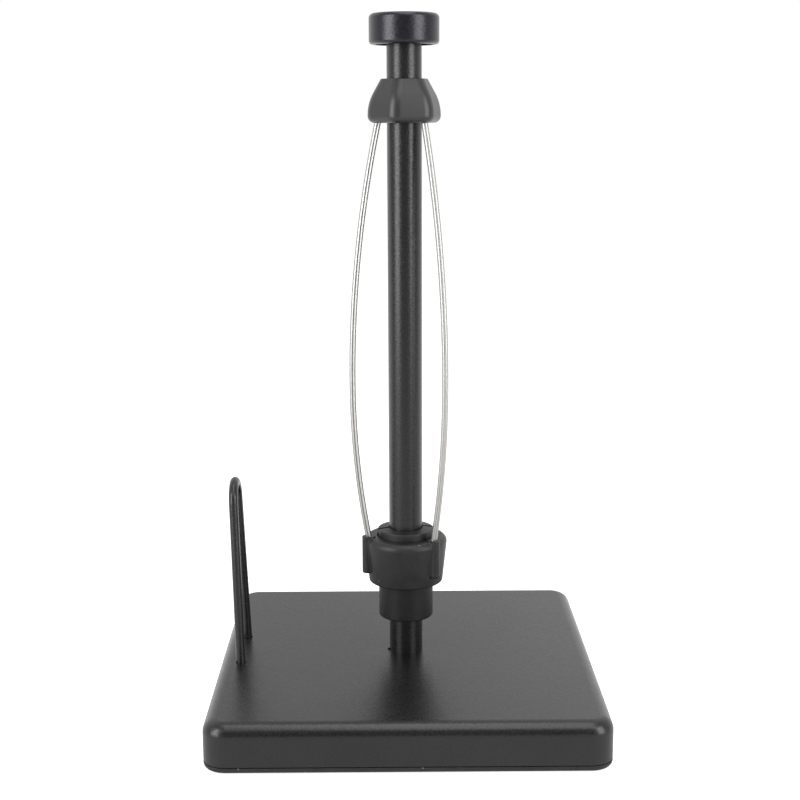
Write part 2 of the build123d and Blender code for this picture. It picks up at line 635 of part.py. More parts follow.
# Top bell: crossed slabs make its curved sides, with a ridge over each wire
bell_flat_r = BELL_FLATS / 2
shoulder_turn = radians(BELL_CONE_DEG)
skirt_top_z = bell_bottom_z + BELL_SKIRT
shoulder_end = (
    bell_flat_r - BELL_SHOULDER_R * (1 - cos(shoulder_turn)),
    skirt_top_z + BELL_SHOULDER_R * sin(shoulder_turn),
)
bell_top_flat_r = shoulder_end[0] - (bell_top_z - shoulder_end[1]) * tan(shoulder_turn)
with BuildPart() as top_bell:
    for slab in range(BELL_SIDES // 2):
        slab_turn = FIRST_WIRE_DEG + BELL_TWIST_DEG + (2 * slab + 1) * 180 / BELL_SIDES
        with BuildSketch(upright_plane(slab_turn)):
            with BuildLine():
                Line((0, bell_bottom_z), (bell_flat_r, bell_bottom_z))
                Line((bell_flat_r, bell_bottom_z), (bell_flat_r, skirt_top_z))
                CenterArc((bell_flat_r - BELL_SHOULDER_R, skirt_top_z), BELL_SHOULDER_R, 0, BELL_CONE_DEG)
                Line(shoulder_end, (bell_top_flat_r, bell_top_z))
                Line((bell_top_flat_r, bell_top_z), (0, bell_top_z))
                Line((0, bell_top_z), (0, bell_bottom_z))
            make_face()
            mirror(about=Plane.YZ)
        extrude(amount=BELL_FLATS, both=True, mode=Mode.ADD if slab == 0 else Mode.INTERSECT)
    ridges = top_bell.edges().filter_by(Plane.XY, reverse=True)
    fillet(ridges, radius=BELL_RIDGE_R)
    fillet(top_bell.edges().group_by(Axis.Z)[-1], radius=BELL_TOP_EDGE_R)
    fillet(top_bell.edges().group_by(Axis.Z)[0], radius=BELL_BOTTOM_EDGE_R)
    with BuildSketch(Plane.XY.offset(bell_bottom_z)):
        Circle(bell_bore_r)
    extrude(amount=BELL_HEIGHT, mode=Mode.SUBTRACT)
    with BuildSketch(Plane.XY.offset(bell_bottom_z)):
        with PolarLocations(bell_socket_r, len(WIRE_NAMES), start_angle=FIRST_WIRE_DEG):
            Circle(wire_r + BELL_SOCKET_FIT)
    extrude(amount=tail_end_z + BELL_SOCKET_END - bell_bottom_z, mode=Mode.SUBTRACT)
write(top_bell, "top_bell")

# Side loop: one bent wire that narrows to its arch, shouldered onto the weight
loop_lean = radians(LOOP_LEAN_DEG)
loop_plane = Plane(
    origin=(loop_x, 0, BASE_HEIGHT),
    x_dir=(0, 1, 0),
    z_dir=(cos(loop_lean), 0, sin(loop_lean)),
)
loop_half = LOOP_WIDTH / 2
loop_taper = radians(LOOP_TAPER_DEG)
loop_top = (LOOP_HEIGHT - LOOP_WIRE_D / 2) / cos(loop_lean)
arch_r = (loop_half - loop_top * tan(loop_taper)) * cos(loop_taper) / (1 - sin(loop_taper))
arch_foot = (arch_r * cos(loop_taper), loop_top - arch_r * (1 - sin(loop_taper)))
leg_foot = (loop_half + 2 * COVER_WALL * tan(loop_taper), -2 * COVER_WALL)
stud_bottom_z = weight_bottom_z - LOOP_WASHER_THICK - LOOP_NUT_H - LOOP_STUD_END
with BuildPart() as side_loop:
    with BuildLine(loop_plane) as loop_path:
        Line((-leg_foot[0], leg_foot[1]), (-arch_foot[0], arch_foot[1]))
        CenterArc((0, loop_top - arch_r), arch_r, 180 - LOOP_TAPER_DEG, 2 * LOOP_TAPER_DEG - 180)
        Line(arch_foot, leg_foot)
    with BuildSketch(loop_path.line ^ 0):
        Circle(LOOP_WIRE_D / 2)
    sweep(path=loop_path.line)
    split(bisect_by=Plane.XY.offset(weight_top_z), keep=Keep.TOP)
    with BuildSketch(Plane.XY.offset(weight_top_z)):
        with Locations(*loop_feet):
            Circle(LOOP_STUD_D / 2)
    extrude(amount=stud_bottom_z - weight_top_z)
write(side_loop, "side_loop")

with BuildPart() as loop_washers:
    with BuildSketch(Plane.XY.offset(weight_bottom_z)):
        with Locations(*loop_feet):
            Circle(LOOP_WASHER_D / 2)
            Circle(LOOP_STUD_D / 2 + LOOP_STUD_GAP, mode=Mode.SUBTRACT)
    extrude(amount=-LOOP_WASHER_THICK)
write(loop_washers, "loop_washers")

with BuildPart() as loop_nuts:
    with BuildSketch(Plane.XY.offset(weight_bottom_z - LOOP_WASHER_THICK)):
        with Locations(*loop_feet):
            RegularPolygon(LOOP_NUT_FLATS / 2, side_count=6, major_radius=False)
            Circle(LOOP_STUD_D / 2 + THREAD_FIT, mode=Mode.SUBTRACT)
    extrude(amount=-LOOP_NUT_H)
write(loop_nuts, "loop_nuts")
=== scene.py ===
"""Looks of a countertop paper towel holder: finishes, bent wires, feet and a white studio.

Everything is in metres and radians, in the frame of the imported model: +Z up, the
front towards -Y, the origin at the middle of the footprint on the table.
"""

import json
import logging
import math
from dataclasses import dataclass, replace
from enum import Enum

import bmesh
import bpy
from mathutils import Matrix, Vector


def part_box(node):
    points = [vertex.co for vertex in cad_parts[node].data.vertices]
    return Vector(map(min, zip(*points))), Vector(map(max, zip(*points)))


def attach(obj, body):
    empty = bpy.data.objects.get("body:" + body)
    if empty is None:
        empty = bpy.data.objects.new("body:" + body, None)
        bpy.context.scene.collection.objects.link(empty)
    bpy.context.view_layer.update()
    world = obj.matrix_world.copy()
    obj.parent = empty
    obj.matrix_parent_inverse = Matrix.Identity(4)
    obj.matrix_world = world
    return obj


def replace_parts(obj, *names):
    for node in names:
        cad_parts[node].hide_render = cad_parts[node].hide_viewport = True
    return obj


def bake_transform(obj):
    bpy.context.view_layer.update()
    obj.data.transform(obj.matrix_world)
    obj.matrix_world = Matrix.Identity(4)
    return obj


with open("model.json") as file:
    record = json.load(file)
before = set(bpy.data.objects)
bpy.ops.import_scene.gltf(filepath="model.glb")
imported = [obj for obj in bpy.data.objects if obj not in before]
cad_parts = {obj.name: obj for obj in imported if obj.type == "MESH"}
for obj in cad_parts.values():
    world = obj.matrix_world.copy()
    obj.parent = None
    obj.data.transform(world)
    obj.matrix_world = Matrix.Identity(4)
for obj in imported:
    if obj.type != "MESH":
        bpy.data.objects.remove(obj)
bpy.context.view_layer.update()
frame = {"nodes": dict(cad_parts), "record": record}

LOG = logging.getLogger("paper_towel_holder")
MM = 0.001
WHITE = (1.0, 1.0, 1.0)

# Vertices nearer than the gap are one, and edges that turn more than the angle stay sharp.
MERGE_GAP = 1e-6
SHARP_TURN = math.radians(35.0)

# Vertex attribute that holds a place on a round wire's section, in radii of the wire.
STRAND = "strand"

# Range that most values of a noise lie in.
NOISE_LOW = 0.3
NOISE_HIGH = 0.7

# Finer layers in the noise of each kind of pattern.
CLOUD_LAYERS = 4.0
GRAIN_LAYERS = 3.0
LINE_LAYERS = 2.0
PEEL_LAYERS = 1.0

Colour = tuple[float, float, float]
Point = tuple[float, float, float]
Socket = bpy.types.NodeSocket
Value = Socket | float | Colour
Ring = list[bmesh.types.BMVert | bmesh.types.BMEdge]


class Slot(Enum):
    """Material slots of the record, by the finish that they take."""

    POWDER = "powder_coat"
    KNOB = "knob_coat"
    MOULDED = "moulded_black"
    SOFT = "soft_black"
    SPRING = "spring_steel"
    ZINC = "zinc_steel"
    WEIGHT = "weight_steel"
    RUBBER = "rubber_black"


class Body(Enum):
    """Bodies of the model that a piece can move with."""

    STAND = "stand"
    CAGE = "cage"
    BELL = "bell"
    CLICKER = "clicker"


class Axis(Enum):
    """Axes of the frame."""

    X = "X"
    Y = "Y"
    Z = "Z"


class Step(Enum):
    """Steps of arithmetic in a node tree."""

    TIMES = "MULTIPLY"
    TIMES_PLUS = "MULTIPLY_ADD"
    LARGER = "MAXIMUM"
    IS_BELOW = "LESS_THAN"


class Mixed(Enum):
    """What a mix is made of."""

    NUMBERS = "FLOAT"
    COLOURS = "RGBA"


class NodeGraph:
    """Adds nodes to one node tree and links them."""

    def __init__(self, tree: bpy.types.NodeTree) -> None:
        """Take over a node tree and empty it.

        Args:
            tree: nodes of a material or of the world.
        """
        self.nodes = tree.nodes
        self.links = tree.links
        self.nodes.clear()

    def feed(self, socket: Socket, value: Value) -> None:
        """Give an input its value.

        Args:
            socket: input of a node.
            value: output of another node, number, or colour without its alpha.
        """
        if isinstance(value, Socket):
            self.links.new(value, socket)
        elif isinstance(value, tuple):
            socket.default_value = (*value, 1.0)
        else:
            socket.default_value = value

    def spread(
        self, value: Socket, low: float, high: float, start: float = NOISE_LOW, end: float = NOISE_HIGH
    ) -> Socket:
        """Stretch a pattern over a range of values.

        Args:
            value: pattern to stretch.
            low: value where the pattern is at or below start.
            high: value where the pattern is at or above end.
            start: lower end of the pattern that is used.
            end: upper end of the pattern that is used.

        Returns:
            The stretched value.
        """
        node = self.nodes.new("ShaderNodeMapRange")
        node.interpolation_type = "SMOOTHSTEP"
        for socket, number in zip(node.inputs, (value, start, end, low, high)):
            self.feed(socket, number)
        return node.outputs["Result"]

    def compute(self, step: Step, *values: Socket | float) -> Socket:
        """Add one step of arithmetic.

        Args:
            step: what is done with the values.
            values: numbers and outputs of nodes, in order.

        Returns:
            The result.
        """
        node = self.nodes.new("ShaderNodeMath")
        node.operation = step.value
        for socket, value in zip(node.inputs, values):
            self.feed(socket, value)
        return node.outputs["Value"]

    def mix(self, kind: Mixed, share: Socket, first: Value, second: Value) -> Socket:
        """Mix two values by a pattern.

        Args:
            kind: what the values are.
            share: pattern that is 0 at the first value and 1 at the second.
            first: value of the ground.
            second: value of the pattern.

        Returns:
            The mixed value.
        """
        node = self.nodes.new("ShaderNodeMix")
        node.data_type = kind.value
        for name, value in (("Factor", share), ("A", first), ("B", second)):
            self.feed(node.inputs[name], value)
        return node.outputs["Result"]

    def by_axis(self, place: Socket) -> dict[Axis, Socket]:
        """Split a place or direction into its parts along the axes.

        Args:
            place: place or direction to split.

        Returns:
            One value for each axis.
        """
        node = self.nodes.new("ShaderNodeSeparateXYZ")
        self.feed(node.inputs["Vector"], place)
        return {axis: node.outputs[axis.value] for axis in Axis}

    def rays(self) -> tuple[Socket, Socket]:
        """Tell the rays of light apart.

        Returns:
            A value that is 1 where the camera looks, and one that is 1 in reflections and through glass.
        """
        ray = self.nodes.new("ShaderNodeLightPath").outputs
        mirrored = self.compute(Step.LARGER, ray["Is Glossy Ray"], ray["Is Transmission Ray"])
        return ray["Is Camera Ray"], mirrored


class FinishGraph(NodeGraph):
    """Wires one procedural material around a single shader."""

    def __init__(self, name: str) -> None:
        """Start a material that holds only its shader and output.

        Args:
            name: name of the new material.
        """
        self.material = bpy.data.materials.new(name)
        self.material.use_nodes = True
        super().__init__(self.material.node_tree)
        self.shader = self.nodes.new("ShaderNodeBsdfPrincipled")
        self.surface = self.nodes.new("ShaderNodeOutputMaterial").inputs["Surface"]
        self.feed(self.surface, self.shader.outputs["BSDF"])
        self.place = self.nodes.new("ShaderNodeTexCoord").outputs["Object"]

    def set_input(self, socket: str, value: Value) -> None:
        """Give an input of the shader its value."""
        self.feed(self.shader.inputs[socket], value)

    def cells_of(self, sizes: Point) -> Socket:
        """Measure the place on the piece in cells.

        Args:
            sizes: size of one cell along each axis.

        Returns:
            The place, as a number of cells along each axis.
        """
        mapping = self.nodes.new("ShaderNodeMapping")
        mapping.inputs["Scale"].default_value = [1.0 / size for size in sizes]
        self.feed(mapping.inputs["Vector"], self.place)
        return mapping.outputs["Vector"]

    def noise(self, place: Socket, layers: float, fineness: float = 1.0) -> Socket:
        """Add a soft noise.

        Args:
            place: place that the noise is read at.
            layers: number of finer layers in the noise.
            fineness: number of patches on each unit of the place.

        Returns:
            The noise's value, from 0 to 1.
        """
        node = self.nodes.new("ShaderNodeTexNoise")
        for name, value in (("Vector", place), ("Scale", fineness), ("Detail", layers)):
            self.feed(node.inputs[name], value)
        return node.outputs["Fac"]

    def clouds(self, size: float, layers: float, stretch: Point = (1.0, 1.0, 1.0)) -> Socket:
        """Add a cloudy pattern.

        Args:
            size: width of one cloud.
            layers: number of finer layers in the pattern.
            stretch: how many times longer a cloud is along each axis.

        Returns:
            The pattern's value, from 0 to 1.
        """
        sizes = tuple(size * longer for longer in stretch)
        return self.noise(self.cells_of(sizes), layers)

    def strands(self, fineness: float) -> Socket:
        """Add lines that run along a drawn wire.

        Args:
            fineness: number of lines on each radius of the wire.

        Returns:
            The pattern's value, from 0 to 1.
        """
        section = self.nodes.new("ShaderNodeAttribute")
        section.attribute_name = STRAND
        return self.noise(section.outputs["Vector"], LINE_LAYERS, fineness)

    def specks(self, gap: float, size: float, share: float) -> Socket:
        """Add sparse round specks.

        Args:
            gap: width of the cell that may hold one speck.
            size: diameter of the largest speck.
            share: share of the cells that hold one.

        Returns:
            The pattern's value, 1 inside a speck.
        """
        cells = self.nodes.new("ShaderNodeTexVoronoi")
        self.feed(cells.inputs["Scale"], 1.0)
        self.feed(cells.inputs["Vector"], self.cells_of((gap, gap, gap)))
        chance = self.nodes.new("ShaderNodeSeparateColor")
        self.feed(chance.inputs["Color"], cells.outputs["Color"])
        reach = self.spread(chance.outputs["Red"], 0.0, size / 2.0 / gap, 1.0 - share, 1.0)
        return self.compute(Step.IS_BELOW, cells.outputs["Distance"], reach)

    def paint(self, share: Socket, first: Colour, second: Colour) -> None:
        """Colour the surface with a pattern of two colours.

        Args:
            share: pattern that is 0 at the first colour and 1 at the second.
            first: colour of the ground.
            second: colour of the pattern.
        """
        self.set_input("Base Color", self.mix(Mixed.COLOURS, share, first, second))

    def dot(self, share: Socket, colour: Colour) -> None:
        """Lay a second colour over what is painted already.

        Args:
            share: pattern that is 1 where the colour shows.
            colour: colour of the pattern.
        """
        ground = self.shader.inputs["Base Color"].links[0].from_socket
        self.set_input("Base Color", self.mix(Mixed.COLOURS, share, ground, colour))

    def emboss(self, height: Socket, depth: float) -> None:
        """Raise the surface by a pattern, over what is embossed already.

        Args:
            height: pattern that is 1 at its peaks.
            depth: height of the peaks.
        """
        bump = self.nodes.new("ShaderNodeBump")
        self.feed(bump.inputs["Strength"], 1.0)
        self.feed(bump.inputs["Distance"], depth)
        self.feed(bump.inputs["Height"], height)
        for link in self.shader.inputs["Normal"].links:
            self.feed(bump.inputs["Normal"], link.from_socket)
        self.set_input("Normal", bump.outputs["Normal"])


@dataclass(frozen=True)
class CoatedBlack:
    """Black coat or moulding: a grain in the gloss, soft clouds and fine relief."""

    name: str
    dark: Colour
    light: Colour
    roughness: tuple[float, float]
    grain_size: float
    grain_depth: float
    peel_size: float = 5.0 * MM
    peel_depth: float = 0.0
    specular: float = 0.5
    tint: Colour = WHITE
    cloud_size: float = 35.0 * MM
    speck_gap: float = 9.0 * MM
    speck_size: float = 0.0
    speck_share: float = 0.3
    speck_colour: Colour = (0.12, 0.12, 0.118)

    def material(self) -> bpy.types.Material:
        """Wire the finish.

        Returns:
            The finish's material.
        """
        graph = FinishGraph(self.name)
        graph.set_input("Specular IOR Level", self.specular)
        graph.set_input("Specular Tint", self.tint)
        clouds = graph.clouds(self.cloud_size, CLOUD_LAYERS)
        graph.paint(graph.spread(clouds, 0.0, 1.0), self.dark, self.light)
        if self.speck_size > 0.0:
            graph.dot(graph.specks(self.speck_gap, self.speck_size, self.speck_share), self.speck_colour)
        grain = graph.clouds(self.grain_size, GRAIN_LAYERS)
        graph.set_input("Roughness", graph.spread(grain, *self.roughness))
        if self.peel_depth > 0.0:
            graph.emboss(graph.clouds(self.peel_size, PEEL_LAYERS), self.peel_depth)
        graph.emboss(grain, self.grain_depth)
        return graph.material


@dataclass(frozen=True)
class BareSteel:
    """Bare or plated metal: strands along a wire or cloudy patches, and lines in the gloss."""

    name: str
    dark: Colour
    light: Colour
    roughness: tuple[float, float]
    line_size: float
    line_stretch: Point = (1.0, 1.0, 1.0)
    line_depth: float = 0.0
    cloud_size: float = 8.0 * MM
    strand_fineness: float = 0.0

    def material(self) -> bpy.types.Material:
        """Wire the finish.

        Returns:
            The finish's material.
        """
        graph = FinishGraph(self.name)
        graph.set_input("Metallic", 1.0)
        if self.strand_fineness > 0.0:
            pattern = graph.strands(self.strand_fineness)
        else:
            pattern = graph.clouds(self.cloud_size, CLOUD_LAYERS)
        graph.paint(graph.spread(pattern, 0.0, 1.0), self.dark, self.light)
        lines = graph.clouds(self.line_size, LINE_LAYERS, self.line_stretch)
        graph.set_input("Roughness", graph.spread(lines, *self.roughness))
        if self.line_depth > 0.0:
            graph.emboss(lines, self.line_depth)
        return graph.material


FINISHES: dict[Slot, CoatedBlack | BareSteel] = {
    Slot.POWDER: CoatedBlack(
        name="satin_powder_coat",
        dark=(0.0045, 0.0045, 0.0047),
        light=(0.007, 0.007, 0.0072),
        roughness=(0.26, 0.36),
        grain_size=0.9 * MM,
        grain_depth=0.045 * MM,
        peel_size=4.0 * MM,
        peel_depth=0.02 * MM,
    ),
    Slot.KNOB: CoatedBlack(
        name="satin_knob_paint",
        dark=(0.0045, 0.0045, 0.0065),
        light=(0.0065, 0.0065, 0.009),
        roughness=(0.26, 0.36),
        grain_size=0.9 * MM,
        grain_depth=0.05 * MM,
        peel_size=3.0 * MM,
        peel_depth=0.02 * MM,
        tint=(0.92, 0.91, 1.0),
    ),
    Slot.MOULDED: CoatedBlack(
        name="textured_moulding",
        dark=(0.006, 0.006, 0.0062),
        light=(0.011, 0.011, 0.0112),
        roughness=(0.43, 0.54),
        grain_size=0.45 * MM,
        grain_depth=0.02 * MM,
        specular=0.44,
        cloud_size=6.0 * MM,
        speck_gap=3.2 * MM,
        speck_size=0.8 * MM,
    ),
    Slot.SOFT: CoatedBlack(
        name="matte_moulding",
        dark=(0.017, 0.017, 0.0175),
        light=(0.022, 0.022, 0.0225),
        roughness=(0.34, 0.4),
        grain_size=0.35 * MM,
        grain_depth=0.005 * MM,
    ),
    Slot.RUBBER: CoatedBlack(
        name="foot_rubber",
        dark=(0.018, 0.018, 0.018),
        light=(0.03, 0.03, 0.029),
        roughness=(0.75, 0.9),
        grain_size=0.3 * MM,
        grain_depth=0.015 * MM,
        specular=0.3,
    ),
    Slot.SPRING: BareSteel(
        name="drawn_spring_wire",
        dark=(0.1, 0.0995, 0.098),
        light=(0.7, 0.688, 0.67),
        roughness=(0.38, 0.44),
        line_size=2.0 * MM,
        strand_fineness=3.7,
    ),
    Slot.ZINC: BareSteel(
        name="zinc_plate",
        dark=(0.52, 0.53, 0.55),
        light=(0.66, 0.66, 0.64),
        roughness=(0.22, 0.36),
        line_size=1.2 * MM,
        cloud_size=3.0 * MM,
    ),
    Slot.WEIGHT: BareSteel(
        name="rolled_steel",
        dark=(0.10, 0.10, 0.105),
        light=(0.24, 0.23, 0.225),
        roughness=(0.42, 0.66),
        line_size=2.0 * MM,
        line_stretch=(12.0, 1.0, 1.0),
        line_depth=0.01 * MM,
        cloud_size=14.0 * MM,
    ),
}

# Darker copy of the textured moulding for the spring cup: painted shade, as the collar above shades the
# cup.
CUP_PAINTED_SHADE_FINISH = replace(
    FINISHES[Slot.MOULDED],
    name="cup_moulding_painted_shade",
    dark=(0.004, 0.004, 0.0042),
    light=(0.007, 0.007, 0.0072),
    specular=0.33,
)


class FinishShop:
    """Makes each finish once and puts it on pieces."""

    def __init__(self) -> None:
        """Make every material of the object."""
        self.materials = {slot: finish.material() for slot, finish in FINISHES.items()}
        # The spring cup takes the darker moulding: painted shade from the collar above it.
        self.painted_shade_materials = {"spring_cup": CUP_PAINTED_SHADE_FINISH.material()}

    def dress(self, piece: bpy.types.Object, slot: Slot) -> bpy.types.Object:
        """Put a finish on a piece made here.

        Args:
            piece: object with a mesh of its own.
            slot: the record's slot that names the finish.

        Returns:
            The same piece.
        """
        piece.data.materials.clear()
        piece.data.materials.append(self.materials[slot])
        return piece

    def dress_nodes(self) -> None:
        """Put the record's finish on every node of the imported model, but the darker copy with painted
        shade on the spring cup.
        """
        for subpart in frame["record"]["subparts"]:
            node = subpart["node"]
            finish = self.painted_shade_materials.get(node, self.materials[Slot(subpart["material_slot"])])
            for holder in frame["nodes"][node].material_slots:
                holder.material = finish


class Workpiece:
    """A mesh that is being shaped, and becomes one object at the origin."""

    def __init__(self, name: str) -> None:
        """Start with an empty mesh, whose vertices can keep their place on a wire's section.

        Args:
            name: name of the finished object.
        """
        self.name = name
        self.mesh = bmesh.new()
        self.strand = self.mesh.verts.layers.float_vector.new(STRAND)

    def ring(self, centre: Point, along: Point, radius: float, sides: int) -> Ring:
        """Add the open ring that a round wire starts from.

        Args:
            centre: middle of the ring.
            along: direction that the wire leaves in.
            radius: radius of the wire.
            sides: number of the ring's sides.

        Returns:
            The ring's vertices and edges.
        """
        turn = Vector(along).to_track_quat("Z", "Y").to_matrix().to_4x4()
        place = Matrix.Translation(centre) @ turn
        made = bmesh.ops.create_circle(self.mesh, radius=radius, segments=sides, matrix=place)
        for vertex in made["verts"]:
            vertex[self.strand] = place.inverted() @ vertex.co / radius
        return self._ring_of(made["verts"])

    def run_straight(self, ring: Ring, move: Point) -> Ring:
        """Draw a wire straight on from its end ring.

        Args:
            ring: end ring of the wire.
            move: how far the wire goes, as a vector.

        Returns:
            The new end ring.
        """
        edges = [part for part in ring if isinstance(part, bmesh.types.BMEdge)]
        made = bmesh.ops.extrude_edge_only(self.mesh, edges=edges)["geom"]
        vertices = [part for part in made if isinstance(part, bmesh.types.BMVert)]
        bmesh.ops.translate(self.mesh, verts=vertices, vec=move)
        return self._ring_of(vertices)

    def run_round(
        self, ring: Ring, centre: Point, axis: Point, turn: float, steps: int, climb: float = 0.0
    ) -> Ring:
        """Draw a wire round an axis from its end ring.

        Args:
            ring: end ring of the wire.
            centre: point on the axis of the bend.
            axis: direction of that axis.
            turn: angle of the bend.
            steps: number of facets along the bend.
            climb: rise along the axis at each step.

        Returns:
            The new end ring.
        """
        made = bmesh.ops.spin(
            self.mesh, geom=ring, cent=centre, axis=axis, dvec=Vector(axis) * climb, angle=turn,
            steps=steps, use_merge=False, use_duplicate=False,
        )
        return self._ring_of([part for part in made["geom_last"] if isinstance(part, bmesh.types.BMVert)])

    @staticmethod
    def _ring_of(vertices: list[bmesh.types.BMVert]) -> Ring:
        """Find the edges of a ring.

        Args:
            vertices: the ring's vertices.

        Returns:
            The vertices, and the edges that have both ends among them.
        """
        members = set(vertices)
        edges = {
            edge for vertex in vertices for edge in vertex.link_edges
            if all(end in members for end in edge.verts)
        }
        return [*vertices, *edges]

    def close_ends(self) -> None:
        """Fill the open ends of a wire."""
        rims = [edge for edge in self.mesh.edges if edge.is_boundary]
        bmesh.ops.holes_fill(self.mesh, edges=rims, sides=0)

    def turn(self, angle: float, axis: Axis, centre: Point = (0.0, 0.0, 0.0)) -> None:
        """Turn the whole mesh about an axis.

        Args:
            angle: angle of the turn.
            axis: direction of the axis.
            centre: point on the axis.
        """
        rotation = Matrix.Rotation(angle, 3, axis.value)
        bmesh.ops.rotate(self.mesh, verts=self.mesh.verts[:], cent=centre, matrix=rotation)

    def finished(self) -> bpy.types.Object:
        """Merge the doubles, point the faces outwards, shade and link the piece.

        Returns:
            The finished object.
        """
        bmesh.ops.remove_doubles(self.mesh, verts=self.mesh.verts[:], dist=MERGE_GAP)
        bmesh.ops.recalc_face_normals(self.mesh, faces=self.mesh.faces[:])
        for face in self.mesh.faces:
            face.smooth = True
        for edge in self.mesh.edges:
            edge.smooth = edge.calc_face_angle(0.0) < SHARP_TURN
        data = bpy.data.meshes.new(self.name)
        self.mesh.to_mesh(data)
        self.mesh.free()
        piece = bpy.data.objects.new(self.name, data)
        bpy.context.scene.collection.objects.link(piece)
        return piece


@dataclass
class SpringCage:
    """The three bowed wires between the turning collar and the bell."""

    wire_radius: float = 1.5 * MM
    wire_sides: int = 24
    first_turn: float = math.radians(195.4)
    names: tuple[str, ...] = ("left", "right", "back")
    bow_radius: float = 25.7 * MM
    crest_rise: float = 75.6 * MM
    foot_radius: float = 18.6 * MM
    head_radius: float = 12.8 * MM
    head_drop: float = 0.5 * MM
    socket_depth: float = 11.0 * MM
    bend_radius: float = 6.0 * MM
    tail_length: float = 8.0 * MM
    low_steps: int = 36
    high_steps: int = 56
    bend_steps: int = 8

    def __post_init__(self) -> None:
        """Take the levels from the collar's ribs and the bell."""
        self.foot_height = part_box("wire_collar")[1].z
        self.crest_height = self.foot_height + self.crest_rise
        self.head_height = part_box("top_bell")[0].z - self.head_drop

    def _arc_to(self, end_radius: float, end_height: float) -> tuple[float, float]:
        """Work out an arc that stands upright at the crest of the bow.

        Args:
            end_radius: distance from the post's axis to the arc's other end.
            end_height: level of that end.

        Returns:
            The arc's radius and its turn.
        """
        spread = self.bow_radius - end_radius
        rise = abs(end_height - self.crest_height)
        radius = (spread**2 + rise**2) / (2.0 * spread)
        return radius, math.asin(rise / radius)

    def bowed_wire(self, name: str, azimuth: float) -> bpy.types.Object:
        """Draw one wire from its socket in the collar to its tail in the bell.

        Args:
            name: name of the piece.
            azimuth: direction of the wire round the post.

        Returns:
            The new piece.
        """
        low_radius, low_turn = self._arc_to(self.foot_radius, self.foot_height)
        high_radius, high_turn = self._arc_to(self.head_radius, self.head_height)
        leave = Vector((math.sin(low_turn), 0.0, math.cos(low_turn)))
        mouth = Vector((self.foot_radius, 0.0, self.foot_height))
        low_centre = (self.bow_radius - low_radius, 0.0, self.crest_height)
        high_centre = (self.bow_radius - high_radius, 0.0, self.crest_height)
        bend_centre = (
            self.head_radius + self.bend_radius * math.cos(high_turn),
            0.0,
            self.head_height + self.bend_radius * math.sin(high_turn),
        )
        inwards, outwards = (0.0, -1.0, 0.0), (0.0, 1.0, 0.0)
        wire = Workpiece(name)
        end = wire.ring(mouth - leave * self.socket_depth, leave, self.wire_radius, self.wire_sides)
        end = wire.run_straight(end, leave * self.socket_depth)
        end = wire.run_round(end, low_centre, inwards, low_turn, self.low_steps)
        end = wire.run_round(end, high_centre, inwards, high_turn, self.high_steps)
        end = wire.run_round(end, bend_centre, outwards, high_turn, self.bend_steps)
        wire.run_straight(end, (0.0, 0.0, self.tail_length))
        wire.close_ends()
        wire.turn(azimuth, Axis.Z)
        return wire.finished()

    def build(self, shop: FinishShop) -> list[bpy.types.Object]:
        """Make and dress the wires in one shape; the real wires stretch as the bell slides.

        Args:
            shop: finishes of the object.

        Returns:
            The new pieces.
        """
        pieces = []
        for place, name in enumerate(self.names):
            azimuth = self.first_turn + place * math.tau / len(self.names)
            wire = shop.dress(self.bowed_wire(f"bowed_wire_{name}", azimuth), Slot.SPRING)
            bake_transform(wire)
            pieces.append(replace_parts(wire, f"spring_wire_{name}"))
        return pieces


@dataclass
class ClickCoil:
    """The coil that presses the click ring up against the collar."""

    wire_radius: float = 0.55 * MM
    wire_sides: int = 14
    turns: int = 3
    steps_per_turn: int = 40

    def build(self, shop: FinishShop) -> list[bpy.types.Object]:
        """Wind and dress the coil in one shape; the real coil shortens as the ring drops.

        Args:
            shop: finishes of the object.

        Returns:
            The new pieces.
        """
        low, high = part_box("click_spring")
        start_height, end_height = low.z + self.wire_radius, high.z - self.wire_radius
        coil_radius = high.x - self.wire_radius
        steps = self.turns * self.steps_per_turn
        upwards, backwards = (0.0, 0.0, 1.0), (0.0, 1.0, 0.0)
        coil = Workpiece("click_coil")
        end = coil.ring((coil_radius, 0.0, start_height), backwards, self.wire_radius, self.wire_sides)
        coil.run_round(
            end, (0.0, 0.0, start_height), upwards, self.turns * math.tau, steps,
            climb=(end_height - start_height) / steps,
        )
        coil.close_ends()
        piece = shop.dress(coil.finished(), Slot.SPRING)
        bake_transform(piece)
        return [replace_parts(piece, "click_spring")]


